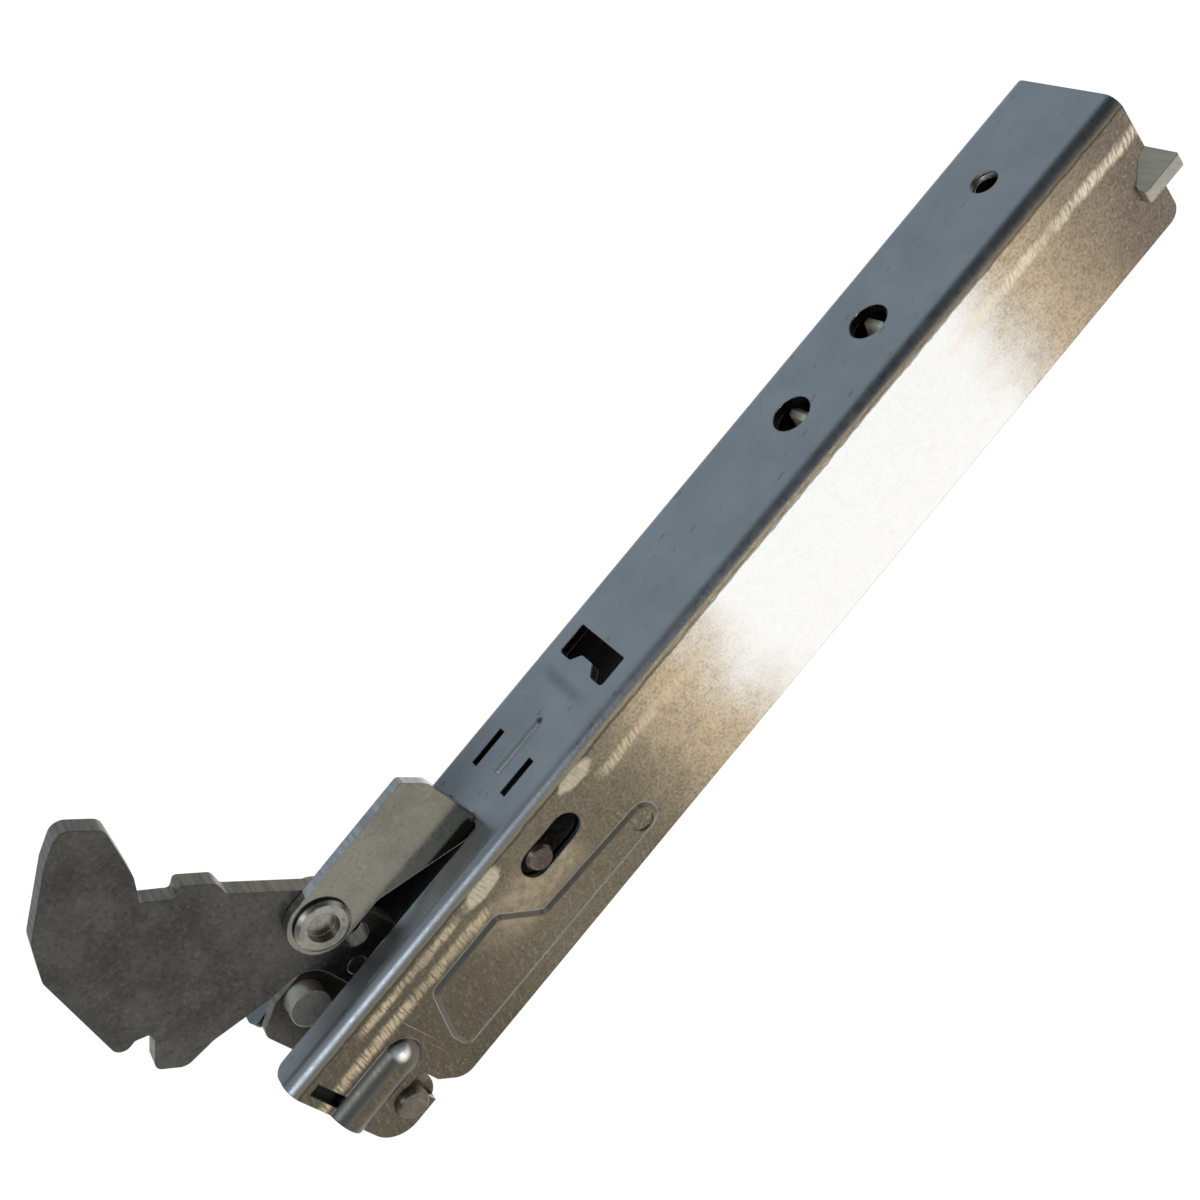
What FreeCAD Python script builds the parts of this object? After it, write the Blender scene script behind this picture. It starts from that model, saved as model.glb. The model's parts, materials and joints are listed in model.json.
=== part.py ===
import FreeCAD, Part
import math
import os

vec = FreeCAD.Vector

# Frame: X from the screw hole towards the hook, Y across the housing, Z out of the web. Web face at Z = 0.
# Driving dimensions, in millimetres and degrees. Depths are measured down from the web face.
sizes = {
    "housingLength": 178.8,
    "housingWidth": 21.0,
    "housingDepth": 24.0,
    "sheetWall": 1.5,
    "bendRadius": 2.4,
    "farReach": 17.9,
    "farCornerRadius": 2.2,
    "nearCornerRadius": 4.4,
    "screwBore": 4.3,
    "fixBore": 6.2,
    "fixPlace": 26.3,
    "fixPitch": 17.3,
    "windowPlace": 88.4,
    "windowLength": 5.2,
    "windowWidth": 12.2,
    "tongueRadius": 2.0,
    "slitPlace": 108.2,
    "slitLength": 6.4,
    "slitWidth": 1.3,
    "slitSpread": 9.2,
    "ribPlace": 104.6,
    "ribLength": 10.6,
    "ribRadius": 1.4,
    "ribRise": 0.6,
    "slotPlace": 116.9,
    "slotWidth": 9.8,
    "guidePlace": 109.4,
    "guideTravel": 6.2,
    "guideDepth": 7.8,
    "guideRadius": 2.15,
    "guideRest": 5.4,
    "guideProud": 0.4,
    "runClearance": 0.3,
    "pinClearance": 0.05,
    "clubPlace": 99.2,
    "clubNeckLength": 21.4,
    "clubHeadLength": 22.5,
    "clubStepRun": 4.2,
    "clubNeckWidth": 5.6,
    "clubTop": 8.0,
    "clubBottom": 20.8,
    "clubRise": 0.5,
    "clubDraft": 58.0,
    "clubCoinRadius": 1.8,
    "clubCoinDepth": 0.25,
    "domePlace": 145.4,
    "domeDepth": 11.5,
    "domeRadius": 3.6,
    "domeRise": 2.0,
    "endRecessPlace": 157.6,
    "endRecessWidth": 2.0,
    "endRecessTop": 3.0,
    "endRecessLength": 5.8,
    "endRecessDepth": 0.9,
    "pivotPlace": 154.2,
    "pivotDepth": 18.8,
    "pivotRadius": 2.5,
    "pivotProud": 1.0,
    "notchWidth": 2.8,
    "notchMouth": 5.0,
    "notchCornerRadius": 3.0,
    "webCornerRadius": 1.8,
    "lugDepth": 22.2,
    "bushRadius": 4.0,
    "armWall": 3.0,
    "armBossRadius": 5.0,
    "hookRise": 66.8,
    "leverBack": 8.2,
    "leverRise": 5.8,
    "leverBossRadius": 4.4,
    "armHoleRadius": 2.0,
    "studRadius": 3.0,
    "studRise": 18.0,
    "studBack": 2.2,
    "archClearance": 2.7,
    "doublerWall": 1.5,
    "doublerRivetRadius": 1.5,
    "linkWall": 1.5,
    "linkGap": 0.3,
    "linkWidth": 6.0,
    "linkLength": 51.0,
    "linkPinRadius": 2.0,
    "rivetHeadWall": 0.9,
    "rivetHeadLip": 1.0,
    "springPinRadius": 1.8,
    "springDepth": 15.9,
    "coilDepth": 10.2,
    "coilRadius": 7.4,
    "coilStart": 5.7,
    "coilPitch": 4.325,
    "coilTurns": 18.0,
    "coilSteps": 10.0,
    "wireRadius": 0.95,
    "strapWall": 2.2,
    "earProud": 1.35,
    "earPast": 3.4,
    "earLength": 7.6,
    "stemWidth": 9.0,
    "stemLength": 10.0,
    "stemHoleRadius": 2.0,
    "stemHoleEdge": 1.6,
    "latchWall": 1.8,
    "latchGap": 0.1,
    "latchPivotPlace": 140.1,
    "latchPivotRise": 8.9,
    "latchEndRadius": 4.8,
    "latchTipPlace": 116.1,
    "latchTipRise": 14.0,
    "latchNoseDrop": 1.3,
    "latchRivetRadius": 2.9,
    "latchRivetBore": 2.3,
    "latchRivetRecess": 1.6,
    "latchRivetLip": 1.2,
    "latchRivetProud": 0.9,
}

doc = FreeCAD.newDocument("OvenDoorHinge")
sheet = doc.addObject("Spreadsheet::Sheet", "Sizes")
for row, (alias, value) in enumerate(sizes.items(), 1):
    sheet.set(f"A{row}", alias)
    sheet.set(f"B{row}", str(value))
    sheet.setAlias(f"B{row}", alias)
doc.recompute()


def size(alias):
    return float(sheet.get(alias))


def bind(item, **expressions):
    for name, expression in expressions.items():
        item.setExpression(name.replace("_", "."), expression)


def newBody(label):
    body = doc.addObject("PartDesign::Body", label)
    body.Label = label
    return body


def sketchOn(body, role, name, offset=None):
    sketch = body.newObject("Sketcher::SketchObject", name)
    support = next(f for f in body.Origin.OriginFeatures if f.Role == role)
    sketch.AttachmentSupport = [(support, "")]
    sketch.MapMode = "FlatFace"
    if offset:
        sketch.setExpression("AttachmentOffset.Base.z", offset)
    return sketch


def outline(sketch, corners):
    # closed outline through corners (x, y, rounding radius)
    joints = []
    for i, (x, y, radius) in enumerate(corners):
        corner = vec(x, y, 0)
        back = (vec(*corners[i - 1][:2], 0) - corner).normalize()
        ahead = (vec(*corners[(i + 1) % len(corners)][:2], 0) - corner).normalize()
        half = back.getAngle(ahead) / 2
        cut = radius / math.tan(half)
        joints.append((corner + back * cut, corner + ahead * cut))
        if radius:
            inward = (back + ahead).normalize()
            middle = corner + inward * (radius / math.sin(half) - radius)
            sketch.addGeometry(Part.Arc(joints[-1][0], middle, joints[-1][1]))
    for i, (start, stop) in enumerate(joints):
        follow = joints[(i + 1) % len(joints)][0]
        if stop.distanceToPoint(follow) > 1e-6:
            sketch.addGeometry(Part.LineSegment(stop, follow))


def circle(sketch, x, y, radius):
    sketch.addGeometry(Part.Circle(vec(x, y, 0), vec(0, 0, 1), radius))


def obround(sketch, x0, x1, y, radius):
    outline(sketch, [(x0 - radius, y - radius, radius), (x1 + radius, y - radius, radius),
                     (x1 + radius, y + radius, radius), (x0 - radius, y + radius, radius)])


def box(sketch, x0, x1, y0, y1):
    outline(sketch, [(x0, y0, 0), (x1, y0, 0), (x1, y1, 0), (x0, y1, 0)])


def pad(body, sketch, name, length, reverse=False, both=False):
    feature = body.newObject("PartDesign::Pad", name)
    feature.Profile = sketch
    feature.Reversed = reverse
    feature.SideType = "Symmetric" if both else "One side"
    bind(feature, Length=length)
    sketch.Visibility = False
    return feature


def pocket(body, sketch, name, length=None, reverse=False):
    feature = body.newObject("PartDesign::Pocket", name)
    feature.Profile = sketch
    feature.Reversed = reverse
    if length:
        bind(feature, Length=length)
    else:
        feature.Type = "ThroughAll"
        feature.SideType = "Symmetric"
    sketch.Visibility = False
    return feature


def spin(body, sketch, name, kind="PartDesign::Revolution"):
    feature = body.newObject(kind, name)
    feature.Profile = sketch
    feature.ReferenceAxis = (sketch, ["Axis0"])
    feature.Angle = 360
    sketch.Visibility = False
    return feature


def capsule(sketch, x0, x1, y, radius, side):
    # half profile of a bar with one round end at x0, to be spun about its own axis
    start = vec(x0, y, 0)
    tangent = vec(x0 + radius, y + side * radius, 0)
    middle = vec(x0 + radius * (1 - math.sqrt(0.5)), y + side * radius * math.sqrt(0.5), 0)
    sketch.addGeometry(Part.Arc(start, middle, tangent))
    sketch.addGeometry(Part.LineSegment(tangent, vec(x1, y + side * radius, 0)))
    sketch.addGeometry(Part.LineSegment(vec(x1, y + side * radius, 0), vec(x1, y, 0)))
    sketch.addGeometry(Part.LineSegment(vec(x1, y, 0), start))
    sketch.addGeometry(Part.LineSegment(vec(x0, y, 0), vec(x1, y, 0)), True)


def bar(sketch, x0, x1, y, radius, side):
    # half profile of a bar with a flat end at x0, to be spun about its own axis
    outline(sketch, [(x0, y, 0), (x1, y, 0), (x1, y + side * radius, 0), (x0, y + side * radius, 0)])
    sketch.addGeometry(Part.LineSegment(vec(x0, y, 0), vec(x1, y, 0)), True)


def turned(label, rings, x, z):
    # round piece about an axis along Y, from pairs (y, radius) along its outside
    body = newBody(label)
    sketch = sketchOn(body, "XY_Plane", label + "_profile")
    points = [vec(0, rings[0][0], 0)] + [vec(r, y, 0) for y, r in rings] + [vec(0, rings[-1][0], 0)]
    for a, b in zip(points, points[1:] + points[:1]):
        sketch.addGeometry(Part.LineSegment(a, b))
    sketch.addGeometry(Part.LineSegment(points[0], points[-1]), True)
    spin(body, sketch, label + "_turn")
    bind(body, Placement_Base_x=x, Placement_Base_z=z)
    return body


def plate(label, corners, wall, middle="0"):
    # flat piece in the plane of X and Z, its thickness centred on a place across the housing
    body = newBody(label)
    sketch = sketchOn(body, "XZ_Plane", label + "_outline")
    outline(sketch, corners)
    pad(body, sketch, label + "_plate", wall, both=True)
    bind(body, Placement_Base_y=middle)
    return body


def bored(body, name, x, z, radius):
    sketch = sketchOn(body, "XZ_Plane", name)
    circle(sketch, x, z, radius)
    pocket(body, sketch, name + "_cut")


def roundCorner(sketch, x, z, radius, way, steps):
    # area outside a rounded lower corner at an end of the channel, joined to further cut corners
    middle = vec(x - way * radius, z + radius, 0)
    side = middle + vec(way * radius, 0, 0)
    foot = middle + vec(0, -radius, 0)
    sketch.addGeometry(Part.Arc(side, middle + vec(way, -1, 0).normalize() * radius, foot))
    low = -size("housingDepth") - size("sheetWall")
    beyond = x + way * size("sheetWall")
    ring = [foot] + [vec(*step, 0) for step in steps or [(foot.x, low)]]
    ring += [vec(beyond, low, 0), vec(beyond, side.y, 0), side]
    for a, b in zip(ring, ring[1:]):
        sketch.addGeometry(Part.LineSegment(a, b))


farEnd = -size("farReach")
nearEnd = farEnd + size("housingLength")
halfWidth = size("housingWidth") / 2
wall = size("sheetWall")
depth = size("housingDepth")
innerHalf = halfWidth - wall
pivot = vec(size("pivotPlace"), 0, -size("pivotDepth"))
lever = pivot + vec(-size("leverBack"), 0, size("leverRise"))
stud = pivot + vec(-size("studBack"), 0, size("studRise"))
latchPivot = vec(size("latchPivotPlace"), 0, size("latchPivotRise"))
springLevel = -size("springDepth")
linkTilt = math.asin((lever.z - springLevel) / size("linkLength"))
springPin = vec(lever.x - size("linkLength") * math.cos(linkTilt), 0, springLevel)
pivotAt = ("Sizes.pivotPlace", "-Sizes.pivotDepth")
leverAt = ("Sizes.pivotPlace - Sizes.leverBack", "Sizes.leverRise - Sizes.pivotDepth")


def clubCorners():
    # pressed field on each flange: a narrow neck that widens to a tall head
    start = size("clubPlace")
    step = start + size("clubNeckLength")
    end = step + size("clubHeadLength")
    low = -size("clubBottom")
    top = -size("clubTop")
    neckTop = low + size("clubNeckWidth")
    tip = size("clubNeckWidth") * 0.46
    return [(start, low, tip), (end, low + 0.2, 1.5), (end, low + 4.0, 3.0), (end - 4.2, top, 2.2),
            (step + size("clubStepRun"), top, 1.8), (step, neckTop + 0.8, 1.2), (start, neckTop - 0.2, tip)]


def makeHousing():
    body = newBody("housing")
    block = sketchOn(body, "YZ_Plane", "channel_outside", "-Sizes.farReach")
    bend = size("bendRadius")
    outline(block, [(-halfWidth, -depth, 0), (halfWidth, -depth, 0),
                    (halfWidth, 0, bend), (-halfWidth, 0, bend)])
    pad(body, block, "channel_block", "Sizes.housingLength")

    for side, name in ((1, "near"), (-1, "far")):
        face = f"{-side} * Sizes.housingWidth / 2"
        club = sketchOn(body, "XZ_Plane", f"club_{name}", face)
        outline(club, clubCorners())
        raised = pad(body, club, f"club_{name}_raised", "Sizes.clubRise", reverse=side > 0)
        bind(raised, TaperAngle="-Sizes.clubDraft")
        dome = sketchOn(body, "XY_Plane", f"dome_{name}", "-Sizes.domeDepth")
        axis = side * (halfWidth + size("domeRise") - size("domeRadius"))
        capsule(dome, size("domePlace"), nearEnd, axis, size("domeRadius"), side)
        spin(body, dome, f"dome_{name}_raised")

    rib = sketchOn(body, "XZ_Plane", "rib")
    ribStart = size("ribPlace") - size("ribLength") / 2
    ribRadius = size("ribRadius")
    capsule(rib, ribStart, ribStart + size("ribLength"), size("ribRise") - ribRadius, ribRadius, 1)
    spin(body, rib, "rib_raised")

    hollow = sketchOn(body, "YZ_Plane", "channel_inside", "-Sizes.farReach")
    inner = max(bend - wall, 0.3)
    outline(hollow, [(-innerHalf, -depth - wall, 0), (innerHalf, -depth - wall, 0),
                     (innerHalf, -wall, inner), (-innerHalf, -wall, inner)])
    pocket(body, hollow, "channel_hollow", "Sizes.housingLength", reverse=True)

    for side, name in ((1, "near"), (-1, "far")):
        dome = sketchOn(body, "XY_Plane", f"dome_{name}_back", "-Sizes.domeDepth")
        axis = side * (halfWidth + size("domeRise") - size("domeRadius"))
        bar(dome, size("domePlace") + 2 * wall, nearEnd + wall, axis, size("domeRadius") - wall, side)
        spin(body, dome, f"dome_{name}_hollow", "PartDesign::Groove")
        raised = f"{-side} * (Sizes.housingWidth / 2 + Sizes.clubRise)"
        coin = sketchOn(body, "XZ_Plane", f"club_{name}_coin", raised)
        neck = size("clubNeckWidth") / 2
        circle(coin, size("clubPlace") + neck, neck - size("clubBottom"), size("clubCoinRadius"))
        pocket(body, coin, f"club_{name}_coined", "Sizes.clubCoinDepth", reverse=side > 0)
        end = sketchOn(body, "XZ_Plane", f"end_{name}", f"{-side} * Sizes.housingWidth / 2")
        start = size("endRecessPlace")
        high = -size("endRecessTop")
        box(end, start, start + size("endRecessWidth"), high - size("endRecessLength"), high)
        pocket(body, end, f"end_{name}_recess", "Sizes.endRecessDepth", reverse=side > 0)

    web = sketchOn(body, "XY_Plane", "web_cuts")
    circle(web, 0, 0, size("screwBore") / 2)
    for i in range(2):
        circle(web, size("fixPlace") + i * size("fixPitch"), 0, size("fixBore") / 2)
    half = size("windowWidth") / 2
    back = size("windowPlace") - size("windowLength") / 2
    front = back + size("windowLength")
    tongue = size("tongueRadius")
    dip = front - tongue * 0.85
    outline(web, [(back, -half, 0.2), (front, -half, 0.7), (front, -tongue * 1.5, 0.8),
                  (dip, -tongue * 0.75, 0.9), (dip, tongue * 0.75, 0.9), (front, tongue * 1.5, 0.8),
                  (front, half, 0.7), (back, half, 0.2)])
    for side in (1, -1):
        middle = side * size("slitSpread") / 2
        start = size("slitPlace") - size("slitLength") / 2
        slit = size("slitWidth") / 2
        box(web, start, start + size("slitLength"), middle - slit, middle + slit)
    slotHalf = size("slotWidth") / 2
    corner = size("webCornerRadius")
    mouth = slotHalf + 1.2 * corner
    outline(web, [(size("slotPlace"), -slotHalf, 1.0), (nearEnd, -slotHalf, corner), (nearEnd, -mouth, 0),
                  (nearEnd + wall, -mouth, 0), (nearEnd + wall, mouth, 0), (nearEnd, mouth, 0),
                  (nearEnd, slotHalf, corner), (size("slotPlace"), slotHalf, 1.0)])
    pocket(body, web, "web_cut", "2 * Sizes.sheetWall")

    sides = sketchOn(body, "XZ_Plane", "flange_cuts")
    guide = size("guideRadius") + size("runClearance")
    guideStop = size("guidePlace") + size("guideTravel")
    obround(sides, size("guidePlace"), guideStop, -size("guideDepth"), guide)
    seat = springLevel - size("strapWall") / 2
    inside = farEnd - size("earPast") + size("earLength")
    past = farEnd - wall
    outline(sides, [(past, seat, 0), (inside, seat, 0), (inside, seat + 3.2, 1.0),
                    (farEnd + 1.6, seat + 6.6, 1.6), (past, seat + 7.4, 0)])
    lip = pivot.x - size("pivotRadius") * 0.75
    left = lip - size("notchWidth")
    top = pivot.z + size("pivotRadius") * 0.95
    heel = lip - size("notchMouth")
    rounding = size("notchCornerRadius")
    tangent = heel - 2 * rounding
    outline(sides, [(tangent, -depth - wall, 0), (lip, -depth - wall, 0), (lip, pivot.z - 0.5, 0),
                    (pivot.x, pivot.z - 0.5, 0), (pivot.x, top, 0), (left, top, 1.4),
                    (left, pivot.z - 1.2, 0.8), (heel, -depth, rounding), (tangent, -depth, 0)])
    pocket(body, sides, "flange_cut")
    bored(body, "pivot_seat", pivot.x, pivot.z, size("pivotRadius"))
    trim = sketchOn(body, "XZ_Plane", "corner_trims")
    lug = -size("lugDepth")
    steps = [(lip - 0.5, lug), (lip - 0.5, -depth - wall)]
    roundCorner(trim, nearEnd, lug, size("nearCornerRadius"), 1, steps)
    roundCorner(trim, farEnd, -depth, size("farCornerRadius"), -1, [])
    pocket(body, trim, "corner_trim")
    return body


def makeArm():
    boss = size("armBossRadius")
    leverBoss = size("leverBossRadius")
    arch = size("studRadius") + size("archClearance")
    hook = [(-3.2, 65.4, 2.0), (-7.8, 67.2, 2.0), (-10.8, 62.2, 1.6), (-8.8, 57.8, 4.0), (-7.2, 54.5, 2.0),
            (-4.6, 51.4, 0.5), (-7.2, 47.6, 0.6), (-8.9, 48.5, 0.6), (-11.6, 44.2, 1.2), (-11.0, 42.0, 1.0),
            (-18.2, 29.6, 2.5), (-18.8, 15.8, 4.0)]
    lobe = [(7.8, 27.9, 3.0), (12.8, 28.6, 2.0), (15.0, 32.4, 1.2), (11.4, 35.4, 0.3), (10.8, 36.8, 0.5),
            (12.4, 38.0, 0.3), (15.4, 38.0, 1.5), (10.4, 54.8, 2.5), (6.4, 59.8, 3.0)]
    scale = size("hookRise") / max(z for x, z, r in hook)

    def fromPivot(corners):
        return [(pivot.x + x * scale, pivot.z + z * scale, r * scale) for x, z, r in corners]

    inner = leverBoss * 0.6
    body = plate("claw_arm", fromPivot(hook) + [
        # lever end and pivot end inside the housing
        (lever.x - leverBoss, lever.z + 1.0, inner), (lever.x - inner, lever.z - leverBoss, inner),
        (pivot.x - 1.0, pivot.z - boss, boss * 0.5), (pivot.x + boss, pivot.z - boss, boss * 0.9),
        (pivot.x + boss, pivot.z + boss, boss * 0.6),
        # round recess over the stud
        (stud.x - 0.4, stud.z - arch - 2.6, 2.0), (stud.x - arch, stud.z - 3.0, 2.5),
        (stud.x - arch, stud.z + arch, arch * 0.8), (stud.x + 1.2, stud.z + arch + 1.0, 1.5)
    ] + fromPivot(lobe), "Sizes.armWall")
    bored(body, "arm_pivot_bore", pivot.x, pivot.z, size("pivotRadius") + size("pinClearance"))
    bored(body, "arm_lever_bore", lever.x, lever.z, size("linkPinRadius") + size("pinClearance"))
    bored(body, "arm_latch_bore", latchPivot.x, latchPivot.z, size("latchRivetRadius"))
    hole = size("armHoleRadius")
    below = latchPivot.z - size("latchEndRadius") - hole - 0.4
    bored(body, "arm_small_hole", latchPivot.x - 0.4, below, hole)
    for i, spot in enumerate(doublerRivets()):
        bored(body, f"arm_rivet_bore_{i}", spot.x, spot.z, size("doublerRivetRadius"))
    return body


def doublerRivets():
    # two rivets that hold the doubler, beside the recess and above the pivot
    return [vec(pivot.x - 0.6, 0, pivot.z + 8.2), vec(stud.x - 8.6, 0, stud.z - 1.4)]


def makeDoubler():
    low, high = doublerRivets()
    reach = size("studRadius") + size("archClearance") + 2.0
    shank = size("doublerRivetRadius")
    middle = "-(Sizes.armWall + Sizes.doublerWall) / 2"
    body = plate("arm_doubler", [
        (stud.x + reach * 0.35, stud.z + reach * 0.42, 1.0),
        (high.x - shank * 1.6, stud.z + reach * 0.42, 2.0),
        (high.x - shank * 1.7, high.z - shank * 1.2, 2.0), (low.x - shank * 1.5, low.z - shank * 1.4, 2.0),
        (low.x + shank * 2.0, low.z - shank * 1.4, 2.0), (stud.x + reach, stud.z - reach * 0.8, 2.0),
        (stud.x + reach, stud.z + reach * 0.15, 2.0)], "Sizes.doublerWall", middle)
    for i, spot in enumerate((low, high)):
        bored(body, f"doubler_bore_{i}", spot.x, spot.z, size("doublerRivetRadius"))
    bored(body, "doubler_stud_bore", stud.x, stud.z, size("doublerRivetRadius"))
    halfArm = size("armWall") / 2
    back = -halfArm - size("doublerWall")
    head = size("rivetHeadWall")
    for i, spot in enumerate((low, high)):
        lip = shank + size("rivetHeadLip")
        turned(f"doubler_rivet_{i + 1}", [(back - head, shank), (back - head, lip), (back, lip),
                                          (back, shank), (halfArm, shank)], str(spot.x), str(spot.z))
    thick = size("studRadius")
    turned("stop_stud", [(back - head, shank + 0.5), (back, shank + 0.5), (back, shank), (-halfArm, shank),
                         (-halfArm, thick), (halfArm, thick)],
           "Sizes.pivotPlace - Sizes.studBack", "Sizes.studRise - Sizes.pivotDepth")


def makePivot():
    pin = size("pivotRadius")
    end = halfWidth + size("pivotProud")
    turned("pivot_pin", [(-end, pin * 0.85), (-end + 0.4, pin), (end - 0.4, pin), (end, pin * 0.85)],
           *pivotAt)
    inner = size("armWall") / 2 + size("runClearance")
    for side, name in ((1, "near"), (-1, "far")):
        thick = size("bushRadius")
        bush = turned(f"pivot_bush_{name}", [(side * inner, thick), (side * innerHalf, thick)], *pivotAt)
        bored(bush, f"pivot_bush_{name}_bore", 0, 0, pin)


def makeLinks():
    pinRadius = size("linkPinRadius")
    inner = size("armWall") / 2 + size("linkGap")
    outer = inner + size("linkWall")
    half = size("linkWidth") / 2
    along = (lever - springPin).normalize()
    up = vec(-along.z, 0, along.x)
    for side, name in ((1, "near"), (-1, "far")):
        middle = f"{side} * ((Sizes.armWall + Sizes.linkWall) / 2 + Sizes.linkGap)"
        tail = springPin - along * half
        nose = lever + along * half
        corners = [tail - up * half, nose - up * half, nose + up * half, tail + up * half]
        body = plate(f"link_{name}", [(c.x, c.z, half * 0.98) for c in corners], "Sizes.linkWall", middle)
        bored(body, f"link_{name}_lever_bore", lever.x, lever.z, pinRadius)
        bored(body, f"link_{name}_spring_bore", springPin.x, springPin.z, size("springPinRadius"))
    head = size("rivetHeadWall")
    hookPin = (size("springPinRadius"), str(springPin.x), "-Sizes.springDepth")
    for label, radius, x, z in (("link_pin", pinRadius, *leverAt), ("spring_pin", *hookPin)):
        lip = radius + size("rivetHeadLip")
        turned(label, [(-outer - head, lip), (-outer, lip), (-outer, radius), (outer, radius),
                       (outer, lip), (outer + head, lip)], x, z)


def makeGuidePin():
    end = halfWidth + size("guideProud")
    radius = size("guideRadius")
    turned("guide_pin", [(-end, radius * 0.8), (-end + 0.5, radius),
                         (end - 0.5, radius), (end, radius * 0.8)],
           "Sizes.guidePlace + Sizes.guideRest", "-Sizes.guideDepth")


def makeAnchor():
    body = newBody("anchor_strap")
    sketch = sketchOn(body, "XY_Plane", "anchor_outline", "-Sizes.springDepth - Sizes.strapWall / 2")
    earEnd = halfWidth + size("earProud")
    start = farEnd - size("earPast")
    shoulder = start + size("earLength")
    stem = size("stemWidth") / 2
    tip = shoulder + size("stemLength")
    outline(sketch, [(start, -earEnd, 0.5), (shoulder, -earEnd, 0.4), (shoulder, -stem, 1.0),
                     (tip, -stem, 2.5), (tip, stem, 2.5), (shoulder, stem, 1.0),
                     (shoulder, earEnd, 0.4), (start, earEnd, 0.5)])
    circle(sketch, stemHole(), 0, size("stemHoleRadius"))
    pad(body, sketch, "anchor_plate", "Sizes.strapWall")


def stemHole():
    tip = farEnd - size("earPast") + size("earLength") + size("stemLength")
    return tip - size("stemHoleEdge") - size("stemHoleRadius")


def coilSpots(start, level, low):
    # spots along the coil in straight steps, which keeps the facets of the long wire few
    steps = int(size("coilSteps"))
    spots = []
    for i in range(int(size("coilTurns")) * steps + 1):
        angle = -math.pi / 2 - 2 * math.pi * i / steps
        across = math.cos(angle) * (level - low)
        height = level + math.sin(angle) * (level - low)
        spots.append(vec(start + size("coilPitch") * i / steps, across, height))
    return spots


def hookSpots(middle, ring, foot):
    # spots round an end hook, from where the straight tail from the coil meets it
    turn = 1 if foot.x > middle.x else -1
    spread = math.acos(ring / foot.distanceToPoint(middle))
    aim = math.atan2(foot.z - middle.z, foot.x - middle.x)
    angles = [aim - turn * (spread + math.radians(sweep)) for sweep in range(0, 301, 30)]
    return [middle + vec(math.cos(a), 0, math.sin(a)) * ring for a in angles]


def makeSpring():
    # coil close under the web, with its end hooks lower down in line with the links
    wire = size("wireRadius")
    level = -size("coilDepth")
    low = level - size("coilRadius")
    body = newBody("tension_spring")
    ringFar = size("stemHoleEdge") / 2 + wire + 1.1
    ringNear = size("springPinRadius") + wire + 0.4
    far = vec(stemHole() + size("stemHoleRadius") - wire - 0.2 + ringFar, 0, springLevel)
    near = vec(springPin.x - 0.2, 0, springLevel)
    coil = coilSpots(size("coilStart"), level, low)
    spots = hookSpots(far, ringFar, coil[0])[::-1] + coil + hookSpots(near, ringNear, coil[-1])
    path = doc.addObject("Part::Feature", "spring_path")
    path.Shape = Part.makePolygon(spots)
    line = body.newObject("PartDesign::SubShapeBinder", "spring_line")
    line.Support = [(path, "")]
    doc.recompute()
    section = body.newObject("Sketcher::SketchObject", "wire_section")
    section.AttachmentSupport = [(line, "Edge1")]
    section.MapMode = "NormalToEdge"
    corners = [math.pi * i / 3 for i in range(6)]
    outline(section, [(wire * math.cos(angle), wire * math.sin(angle), 0) for angle in corners])
    doc.recompute()
    pipe = body.newObject("PartDesign::AdditivePipe", "spring_wire")
    pipe.Profile = section
    pipe.Spine = (line, [f"Edge{i + 1}" for i in range(len(spots) - 1)])
    pipe.Transition = "Right corner"
    doc.recompute()
    return body


def makeLatch():
    end = size("latchEndRadius")
    tip = size("latchTipPlace")
    rise = size("latchTipRise")
    catch = size("slotPlace") + 0.1
    gap = size("runClearance")
    middle = "(Sizes.armWall + Sizes.latchWall) / 2 + Sizes.latchGap"
    body = plate("latch", [
        (latchPivot.x + end, latchPivot.z - end, end * 0.95),
        (latchPivot.x + end, latchPivot.z + end, end * 0.95),
        (tip + 2.0, rise, 0.8), (tip, rise - 3.6, 1.5), (tip, gap, 0.4), (catch, gap, 0),
        (catch, -size("latchNoseDrop"), 0.4), (catch + 2.6, -size("latchNoseDrop"), 0.8),
        (latchPivot.x - end * 1.4, latchPivot.z - end, 3.0)],
        "Sizes.latchWall", middle)
    bored(body, "latch_bore", latchPivot.x, latchPivot.z, size("latchRivetRadius") + size("pinClearance"))
    shank = size("latchRivetRadius")
    lip = shank + size("latchRivetLip")
    front = size("armWall") / 2 + size("latchGap") + size("latchWall") + size("latchGap")
    back = -size("armWall") / 2
    proud = size("latchRivetProud")
    rivet = turned("latch_rivet", [(back - proud, shank), (back - proud, lip), (back, lip), (back, shank),
                                   (front, shank), (front, lip - 0.4), (front + proud * 0.4, lip),
                                   (front + proud, lip - 0.6), (front + proud, shank)],
                   "Sizes.latchPivotPlace", "Sizes.latchPivotRise")
    recess = sketchOn(rivet, "XZ_Plane", "latch_rivet_recess", f"-{front + proud}")
    circle(recess, 0, 0, size("latchRivetBore"))
    pocket(rivet, recess, "latch_rivet_hollow", "Sizes.latchRivetRecess", reverse=True)


makeHousing()
makeArm()
makeDoubler()
makePivot()
makeLinks()
makeGuidePin()
makeAnchor()
makeSpring()
makeLatch()
doc.recompute()

os.makedirs("parts", exist_ok=True)
bodies = [item for item in doc.Objects if item.TypeId == "PartDesign::Body"]
faulty = [item.Label for item in doc.Objects if "Invalid" in item.State or "Error" in item.State]
faulty += [b.Label for b in bodies if b.Shape.isNull() or not b.Shape.isValid() or len(b.Shape.Solids) != 1]
if faulty:
    raise RuntimeError("failed: " + ", ".join(faulty))
for body in bodies:
    body.Shape.exportStep(f"parts/{body.Label}.step")
    print(f"{body.Label}: volume {body.Shape.Volume:.1f} mm3")
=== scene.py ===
import json
import bpy
import numpy as np
from mathutils import Matrix, Vector


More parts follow.
